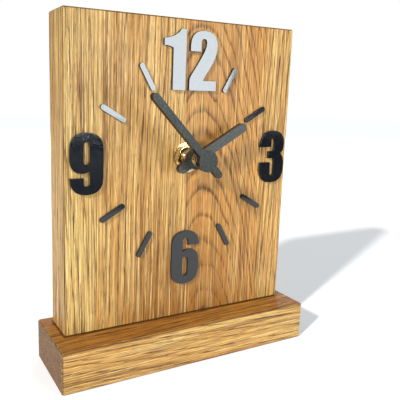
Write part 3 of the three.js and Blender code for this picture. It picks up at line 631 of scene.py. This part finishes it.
def ease(obj, width_mm):
    """Joins the triangles, rounds the edges by width_mm, and shades the curved faces smooth."""
    weld = obj.modifiers.new("weld", "WELD")
    weld.merge_threshold = WELD_MM * MM
    if width_mm:
        flat = obj.modifiers.new("flat_faces", "DECIMATE")
        flat.decimate_type = "DISSOLVE"
        flat.angle_limit = math.radians(FLAT_UNDER_DEG)
        bevel = obj.modifiers.new("eased_edges", "BEVEL")
        bevel.width = width_mm * MM
        bevel.segments = ROUNDING_STEPS
        bevel.limit_method = "ANGLE"
        bevel.angle_limit = math.radians(ROUNDED_OVER_DEG)
        bevel.use_clamp_overlap = True
    shade = obj.modifiers.new("shading", "NODES")
    shade.node_group = SHADING
    if width_mm:
        flatten = obj.modifiers.new("flat_normals", "WEIGHTED_NORMAL")
        flatten.keep_sharp = True
        flatten.weight = LARGEST_FACE_WINS


def new_object(name, data):
    made = bpy.data.objects.new(name, data)
    bpy.context.scene.collection.objects.link(made)
    return made


def new_piece(name, mesh, body, slot, materials, replaces):
    """A piece of the visual model, which may replace CAD nodes."""
    piece = new_object(name, mesh)
    for material in materials:
        mesh.materials.append(material)
    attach(piece, body)
    if replaces:
        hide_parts(*replaces)
    return piece


def mesh_of(name, points, faces):
    """A mesh from points in millimetres, with its faces pointing out."""
    mesh = bpy.data.meshes.new(name)
    mesh.from_pydata([Vector(p) * MM for p in points], [], faces)
    sorted_out = bmesh.new()
    sorted_out.from_mesh(mesh)
    bmesh.ops.recalc_face_normals(sorted_out, faces=sorted_out.faces)
    sorted_out.to_mesh(mesh)
    sorted_out.free()
    return mesh


def closed_grid(name, rows):
    """A closed ring-shaped mesh from rows of points: each row and the list of rows both close."""
    count, around = len(rows), len(rows[0])
    points = [p for row in rows for p in row]
    faces = []
    for i in range(count):
        for j in range(around):
            a, b = i * around + j, i * around + (j + 1) % around
            next_row = ((i + 1) % count) * around
            c, d = next_row + (j + 1) % around, next_row + j
            faces.append((a, b, c, d))
    return mesh_of(name, points, faces)


THREAD = {
    "pitch": 0.75,
    "depth": 0.42,
    "steps": 8,
    "around": 48,
    "radius": 4.0,
    "runout": 0.1,
    "chamfer": 0.35,
    "chamfer_length": 0.7,
    # How much steeper a flank is than in a plain zigzag, which leaves a flat root between flanks.
    "steepness": 1.25,
}
BORE = 2.75
FLANGE = {"radius": 5.2, "depth": 0.8}


def threaded_bushing():
    """The bushing with its real screw thread, from its flange to its chamfered front end."""
    t = THREAD
    front, back = BUSHING_LO.y, BUSHING_HI.y
    flange = back - FLANGE["depth"]
    thread_end = flange - t["runout"]
    count = round((thread_end - front) / t["pitch"] * t["steps"])

    def on_thread(y, turn):
        """The thread's radius at a depth and a part of a turn."""
        from_crest = abs(((y / t["pitch"] + turn) % 1.0) * 2 - 1)
        depth = t["depth"] * min(1.0, from_crest * t["steepness"])
        past_chamfer = min(1.0, (y - front) / t["chamfer_length"])
        return t["radius"] - depth - t["chamfer"] * (1 - past_chamfer)

    def plain(radius):
        return lambda y, turn: radius

    threaded = [(front + (thread_end - front) * i / count, on_thread) for i in range(count + 1)]
    outline = [
        (front, plain(BORE)),
        *threaded,
        (flange, plain(t["radius"] - t["runout"])),
        (flange, plain(FLANGE["radius"])),
        (back, plain(FLANGE["radius"])),
        (back, plain(BORE)),
    ]
    rows = []
    for y, radius_at in outline:
        row = []
        for j in range(t["around"]):
            turn = j / t["around"]
            r, angle = radius_at(y, turn), 2 * math.pi * turn
            row.append((r * math.cos(angle), y, ARBOR_Z + r * math.sin(angle)))
        rows.append(row)
    return closed_grid("threaded_bushing_screw", rows)


def turned(name, outline, place, around=64):
    """A solid of revolution. outline is (distance along, radius) points, both ends on the axis, and
    place turns (along, radius, angle) into a point."""
    points = [place(outline[0][0], 0.0, 0.0), place(outline[-1][0], 0.0, 0.0)]
    rings = outline[1:-1]
    for along, radius in rings:
        points += [place(along, radius, 2 * math.pi * j / around) for j in range(around)]
    faces = []
    last = 2 + (len(rings) - 1) * around
    for j in range(around):
        k = (j + 1) % around
        faces.append((0, 2 + k, 2 + j))
        faces.append((1, last + j, last + k))
        for i in range(len(rings) - 1):
            a, b = 2 + i * around, 2 + (i + 1) * around
            faces.append((a + j, a + k, b + k, b + j))
    return mesh_of(name, points, faces)


# The jacket is shrunk over the can's shoulders as far in as this radius.
FILM_EDGE = 6.3


def cell():
    """A battery: a dished negative end, a film jacket shrunk over both shoulders, and a button.
    Its faces have material 0 where the jacket covers them, and 1 where the steel is bare."""
    low, high, r = CELL_LO.x, CELL_HI.x, (CELL_HI.z - CELL_LO.z) / 2
    can_end = high - 1.0
    negative_end = [
        (low + 0.15, 0.0), (low + 0.15, 3.9), (low, 4.3), (low, 5.2), (low + 0.25, 5.6),
        (low + 0.3, 6.1),
    ]
    jacket = [
        (low + 0.12, 6.55), (low + 0.45, r - 0.12), (low + 0.9, r),
        (can_end - 0.9, r), (can_end - 0.4, r - 0.12), (can_end - 0.05, 6.55),
    ]
    positive_end = [
        (can_end - 0.3, 6.15), (can_end - 0.35, 5.5), (can_end - 0.1, 5.1), (can_end - 0.1, 2.9),
    ]
    button = [(high - 0.25, 2.7), (high, 2.4), (high, 0.0)]

    def place(x, radius, angle):
        return (x, CELL_AXIS[0] + radius * math.cos(angle), CELL_AXIS[1] + radius * math.sin(angle))

    mesh = turned("cell", negative_end + jacket + positive_end + button, place)
    for face in mesh.polygons:
        _, y, z = face.center / MM
        bare = math.hypot(y - CELL_AXIS[0], z - CELL_AXIS[1]) < FILM_EDGE
        face.material_index = 1 if bare else 0
    return mesh


KNOB = {"shaft": 1.5, "wheel_depth": 2.3, "grips": 20, "grip_depth": 0.22, "grip_from_rim": 0.6}
POINTS_PER_GRIP = 8


def knob():
    """The hand-setting knob: a scalloped wheel with a dished face, on a plain shaft."""
    front, back = KNOB_LO.y, KNOB_HI.y
    wheel = back - KNOB["wheel_depth"]
    r, shaft = (KNOB_HI.x - KNOB_LO.x) / 2, KNOB["shaft"]
    stem = [(front, 0.0), (front, shaft - 0.2), (front + 0.2, shaft), (wheel, shaft)]
    rim = [
        (wheel, r - 0.35), (wheel + 0.25, r), (back - 0.4, r), (back - 0.12, r - 0.15),
        (back, r - 0.5),
    ]
    dish = [
        (back, r - 1.3), (back - 0.5, r - 1.6), (back - 0.6, 1.4), (back - 0.25, 1.1),
        (back - 0.25, 0.0),
    ]

    def place(y, radius, angle):
        if radius > r - KNOB["grip_from_rim"]:
            radius -= KNOB["grip_depth"] * (1 - math.cos(KNOB["grips"] * angle))
        return (KNOB_AT[0] + radius * math.cos(angle), y, KNOB_AT[1] + radius * math.sin(angle))

    return turned("knob", stem + rim + dish, place, around=KNOB["grips"] * POINTS_PER_GRIP)


def raised(name, outlines, low, high):
    """Flat marks that stand up from y = low to y = high, each from its (x, z) outline."""
    made = bmesh.new()
    for outline in outlines:
        ring = [made.verts.new(Vector((x, low, z)) * MM) for x, z in outline]
        base = made.faces.new(ring)
        top = bmesh.ops.extrude_face_region(made, geom=[base])["geom"]
        moved = [v for v in top if isinstance(v, bmesh.types.BMVert)]
        bmesh.ops.translate(made, verts=moved, vec=Vector((0, (high - low) * MM, 0)))
    bmesh.ops.recalc_face_normals(made, faces=made.faces)
    mesh = bpy.data.meshes.new(name)
    made.to_mesh(mesh)
    made.free()
    return mesh


def bar(x, z, width, height):
    """The outline of a bar round a point."""
    w, h = width / 2, height / 2
    return [(x - w, z - h), (x + w, z - h), (x + w, z + h), (x - w, z + h)]


def plus_sign(x, z, size, stroke):
    """The outline of a plus sign round a point, from a quarter of it turned four times."""
    a, b = size / 2, stroke / 2
    quarter = [(a, -b), (a, b), (b, b)]
    made = []
    for c, d in [(1, 0), (0, 1), (-1, 0), (0, -1)]:
        made += [(x + c * u - d * v, z + d * u + c * v) for u, v in quarter]
    return made


ARROW = {"steps": 14, "tip_deg": 11, "head": 1.4}


def turning_arrow(at, radius, start_deg, sweep_deg, stroke):
    """The outline of an arc round a point that ends in an arrowhead."""
    steps = ARROW["steps"]

    def polar(r, deg):
        a = math.radians(deg)
        return (at[0] + r * math.cos(a), at[1] + r * math.sin(a))

    angles = [start_deg + sweep_deg * i / steps for i in range(steps + 1)]
    outer = [polar(radius + stroke / 2, a) for a in angles]
    inner = [polar(radius - stroke / 2, a) for a in reversed(angles)]
    half_head = stroke * ARROW["head"]
    head = [
        polar(radius + half_head, angles[-1]),
        polar(radius, angles[-1] + ARROW["tip_deg"]),
        polar(radius - half_head, angles[-1]),
    ]
    return outer + head + inner


COVER_MARK = {
    "height": 0.6,
    "sunk": 0.1,
    "stroke": 0.8,
    "ring": 7.3,
    "arrow_starts": (35, 215),
    "arrow_sweep": 110,
    "sign": 3.4,
    "sign_above_foot": 3.6,
    "plus_from_end": 5.5,
    "minus_from_end": 5.0,
}
# Each seam: how far under the cover's top, or under the signs, how much shorter than the cover is
# wide, and how thick.
TOP_SEAM, LOW_SEAM = (2.4, 12, 0.6), (2.2, 6, 0.5)


def cover_marks():
    """What the mould leaves on the movement's cover: turning arrows, polarity signs and seams."""
    m = COVER_MARK
    face = COVER_HI.y
    signs = COVER_LO.z + m["sign_above_foot"]
    width = COVER_HI.x - COVER_LO.x
    arrows = [
        turning_arrow(KNOB_AT, m["ring"], start, m["arrow_sweep"], m["stroke"])
        for start in m["arrow_starts"]
    ]
    polarity = [
        plus_sign(CELL_HI.x - m["plus_from_end"], signs, m["sign"], m["stroke"]),
        bar(CELL_LO.x + m["minus_from_end"], signs, m["sign"], m["stroke"]),
    ]
    seams = [
        bar(0, top - under, width - shorter, thick)
        for top, (under, shorter, thick) in ((COVER_HI.z, TOP_SEAM), (signs, LOW_SEAM))
    ]
    outlines = arrows + polarity + seams
    return raised("cover_marks", outlines, face - m["sunk"], face + m["height"])


# ---------------------------------------------------------------- the pieces

# How far the edges of the CAD nodes are rounded, in millimetres.
ROUNDING = {
    "dial_panel": 0.22,
    "plinth": 0.22,
    "hour_hand": 0.22,
    "minute_hand": 0.22,
    "dial_washer": 0.14,
    "hex_nut": 0.16,
    "case_front": 0.25,
    "case_rear": 0.3,
    "hour_hand_collet": 0.12,
    "minute_hand_collet": 0.12,
    "plinth_screw_left": 0.08,
    "plinth_screw_right": 0.08,
}
FIGURE_ROUNDING = 0.06
MARK_ROUNDING = 0.06

for name, node in NODES.items():
    mesh = node.data
    mesh.materials.clear()
    mesh.materials.append(OWN_MATERIAL.get(name) or MATERIALS[SLOT_OF[name]])
    if "custom_normal" in mesh.attributes:
        mesh.attributes.remove(mesh.attributes["custom_normal"])
    figure = name.startswith(("numeral", "hour_mark"))
    ease(node, FIGURE_ROUNDING if figure else ROUNDING.get(name, 0.0))

POLISHED = moulded("polished_moulding", (0.040, 0.040, 0.043), 0.12, grain_mm=0.9)
BRASS = [MATERIALS["brass"]]
CELL = [MATERIALS["cell_jacket"], MATERIALS["steel"]]

# Each: name, mesh, body, slot, materials, replaced nodes, rounding.
ADDED = [
    ("bushing_thread", threaded_bushing(), "clock", "brass", BRASS, ["threaded_bushing"], 0.0),
    ("battery", cell(), "clock", "cell_jacket", CELL, ["battery_cell"], 0.0),
    ("scalloped_knob", knob(), "setting", "black_plastic", [POLISHED], ["setting_knob"], 0.0),
    ("cover_marks", cover_marks(), "clock", "black_plastic", [POLISHED], [], MARK_ROUNDING),
]
for name, mesh, body, slot, materials, hidden, rounding in ADDED:
    ease(new_piece(name, mesh, body, slot, materials, hidden), rounding)

# ---------------------------------------------------------------- studio

CAMERA_AT = (-129.4, -220.7, 130.7)
CAMERA_TURN = (79.73, -1.39, -27.79)
CAMERA_LENS = 46.3
CAMERA_SENSOR = 36
CAMERA_SHIFT = (0.1, -0.025)
CAMERA_CLIP_M = (0.01, 20)

camera = new_object("camera", bpy.data.cameras.new("camera"))
camera.data.lens = CAMERA_LENS
camera.data.sensor_width = CAMERA_SENSOR
camera.data.shift_x, camera.data.shift_y = CAMERA_SHIFT
camera.data.clip_start, camera.data.clip_end = CAMERA_CLIP_M
camera.location = Vector(CAMERA_AT) * MM
camera.rotation_euler = Euler([math.radians(a) for a in CAMERA_TURN])
bpy.context.scene.camera = camera


def area_light(name, azimuth, height_mm, distance_mm, size_mm, watts, color, aim_mm):
    """A flat light at an azimuth round the clock, 0 in front of it and 90 to its right. It looks
    at a height on the clock's middle line."""
    lamp = new_object(name, bpy.data.lights.new(name, "AREA"))
    lamp.data.shape = "RECTANGLE"
    lamp.data.size, lamp.data.size_y = size_mm[0] * MM, size_mm[1] * MM
    lamp.data.energy = watts
    lamp.data.color = color
    a = math.radians(azimuth)
    lamp.location = Vector((math.sin(a), -math.cos(a), 0)) * distance_mm * MM
    lamp.location.z = height_mm * MM
    lamp.rotation_mode = "QUATERNION"
    aim = Vector((0, 0, aim_mm)) * MM
    lamp.rotation_quaternion = (aim - lamp.location).to_track_quat("-Z", "Y")


# A window to the front right, level with its aim. Its foot is at the height that leaves the 9
# and the 3 dark.
WINDOW_HEIGHT = 196
area_light(
    "window", azimuth=23.5, height_mm=WINDOW_HEIGHT, distance_mm=1000, size_mm=(470, 268),
    watts=4.8, color=(0.88, 0.96, 1.0), aim_mm=WINDOW_HEIGHT,
)
# A soft light far off behind the clock on its right, for the back and the right side.
area_light(
    "fill", azimuth=150.0, height_mm=560, distance_mm=1500, size_mm=(500, 500),
    watts=6.0, color=(1.0, 0.98, 0.95), aim_mm=95,
)

# The sun comes from the front left, and throws the clock's shadow to the back right.
SUN_FROM = (-1.6, -0.78, 1.0)
SUN_STRENGTH = 3.7
SUN_WIDTH_DEG = 3.5
SUN_COLOR = (1.0, 0.985, 0.955)

key = new_object("key", bpy.data.lights.new("key", "SUN"))
key.data.energy = SUN_STRENGTH
key.data.angle = math.radians(SUN_WIDTH_DEG)
key.data.color = SUN_COLOR
key.rotation_mode = "QUATERNION"
key.rotation_quaternion = Vector(SUN_FROM).to_track_quat("Z", "Y")


def sheet(name, low, high, height, material):
    """A level rectangle that isn't part of the clock, from two of its corners."""
    mesh = bpy.data.meshes.new(name)
    corners = [(low[0], low[1]), (high[0], low[1]), (high[0], high[1]), (low[0], high[1])]
    mesh.from_pydata([Vector((x, y, height)) * MM for x, y in corners], [], [(0, 1, 2, 3)])
    mesh.materials.append(material)
    return new_object(name, mesh)


def paper():
    """Pale paper with a faint tooth, which glows a little so that it stays white far off."""
    g = Graph("pale_floor")
    tooth = g.noise(g.millimetres(), 0.4, 2.0, 0.5)
    color = g.mix(tooth, (0.90, 0.915, 0.93), (0.92, 0.935, 0.95))
    glow = {"Emission Color": (0.97, 0.985, 1.0, 1), "Emission Strength": 0.19}
    roughness = g.spread(tooth, 0.0, 1.0, 0.75, 0.9)
    return g.finish(color, roughness, {"Specular IOR Level": 0.1, **glow})


def black_card():
    return Graph("black_card").finish((0.01, 0.01, 0.012), 0.9)


FLOOR_LOW, FLOOR_HIGH = (-3000, -3000), (3000, 3000)
floor = sheet("floor", FLOOR_LOW, FLOOR_HIGH, 0, paper())

# A black card on the floor in front, which shows only in reflections, as a studio places one to
# shape a gloss.
CARD_LOW, CARD_HIGH, CARD_HEIGHT = (-900, -1500), (1300, -330), 1
card = sheet("card_on_floor", CARD_LOW, CARD_HIGH, CARD_HEIGHT, black_card())
card.visible_camera = False
card.visible_diffuse = False
card.visible_shadow = False

# The sky is white to look at, and lights the clock more softly than that.
world = bpy.data.worlds.new("studio")
bpy.context.scene.world = world
world.use_nodes = True
sky = world.node_tree
sky.nodes.clear()


def background(color, strength):
    made = sky.nodes.new("ShaderNodeBackground")
    made.inputs["Color"].default_value = (*color, 1)
    made.inputs["Strength"].default_value = strength
    return made


seen = sky.nodes.new("ShaderNodeLightPath")
soft = background((0.93, 0.97, 1.0), 0.34)
white = background((1, 1, 1), 1.0)
either = sky.nodes.new("ShaderNodeMixShader")
sky_out = sky.nodes.new("ShaderNodeOutputWorld")
sky.links.new(seen.outputs["Is Camera Ray"], either.inputs[0])
sky.links.new(soft.outputs[0], either.inputs[1])
sky.links.new(white.outputs[0], either.inputs[2])
sky.links.new(either.outputs[0], sky_out.inputs[0])

bpy.context.scene.view_settings.view_transform = "Standard"
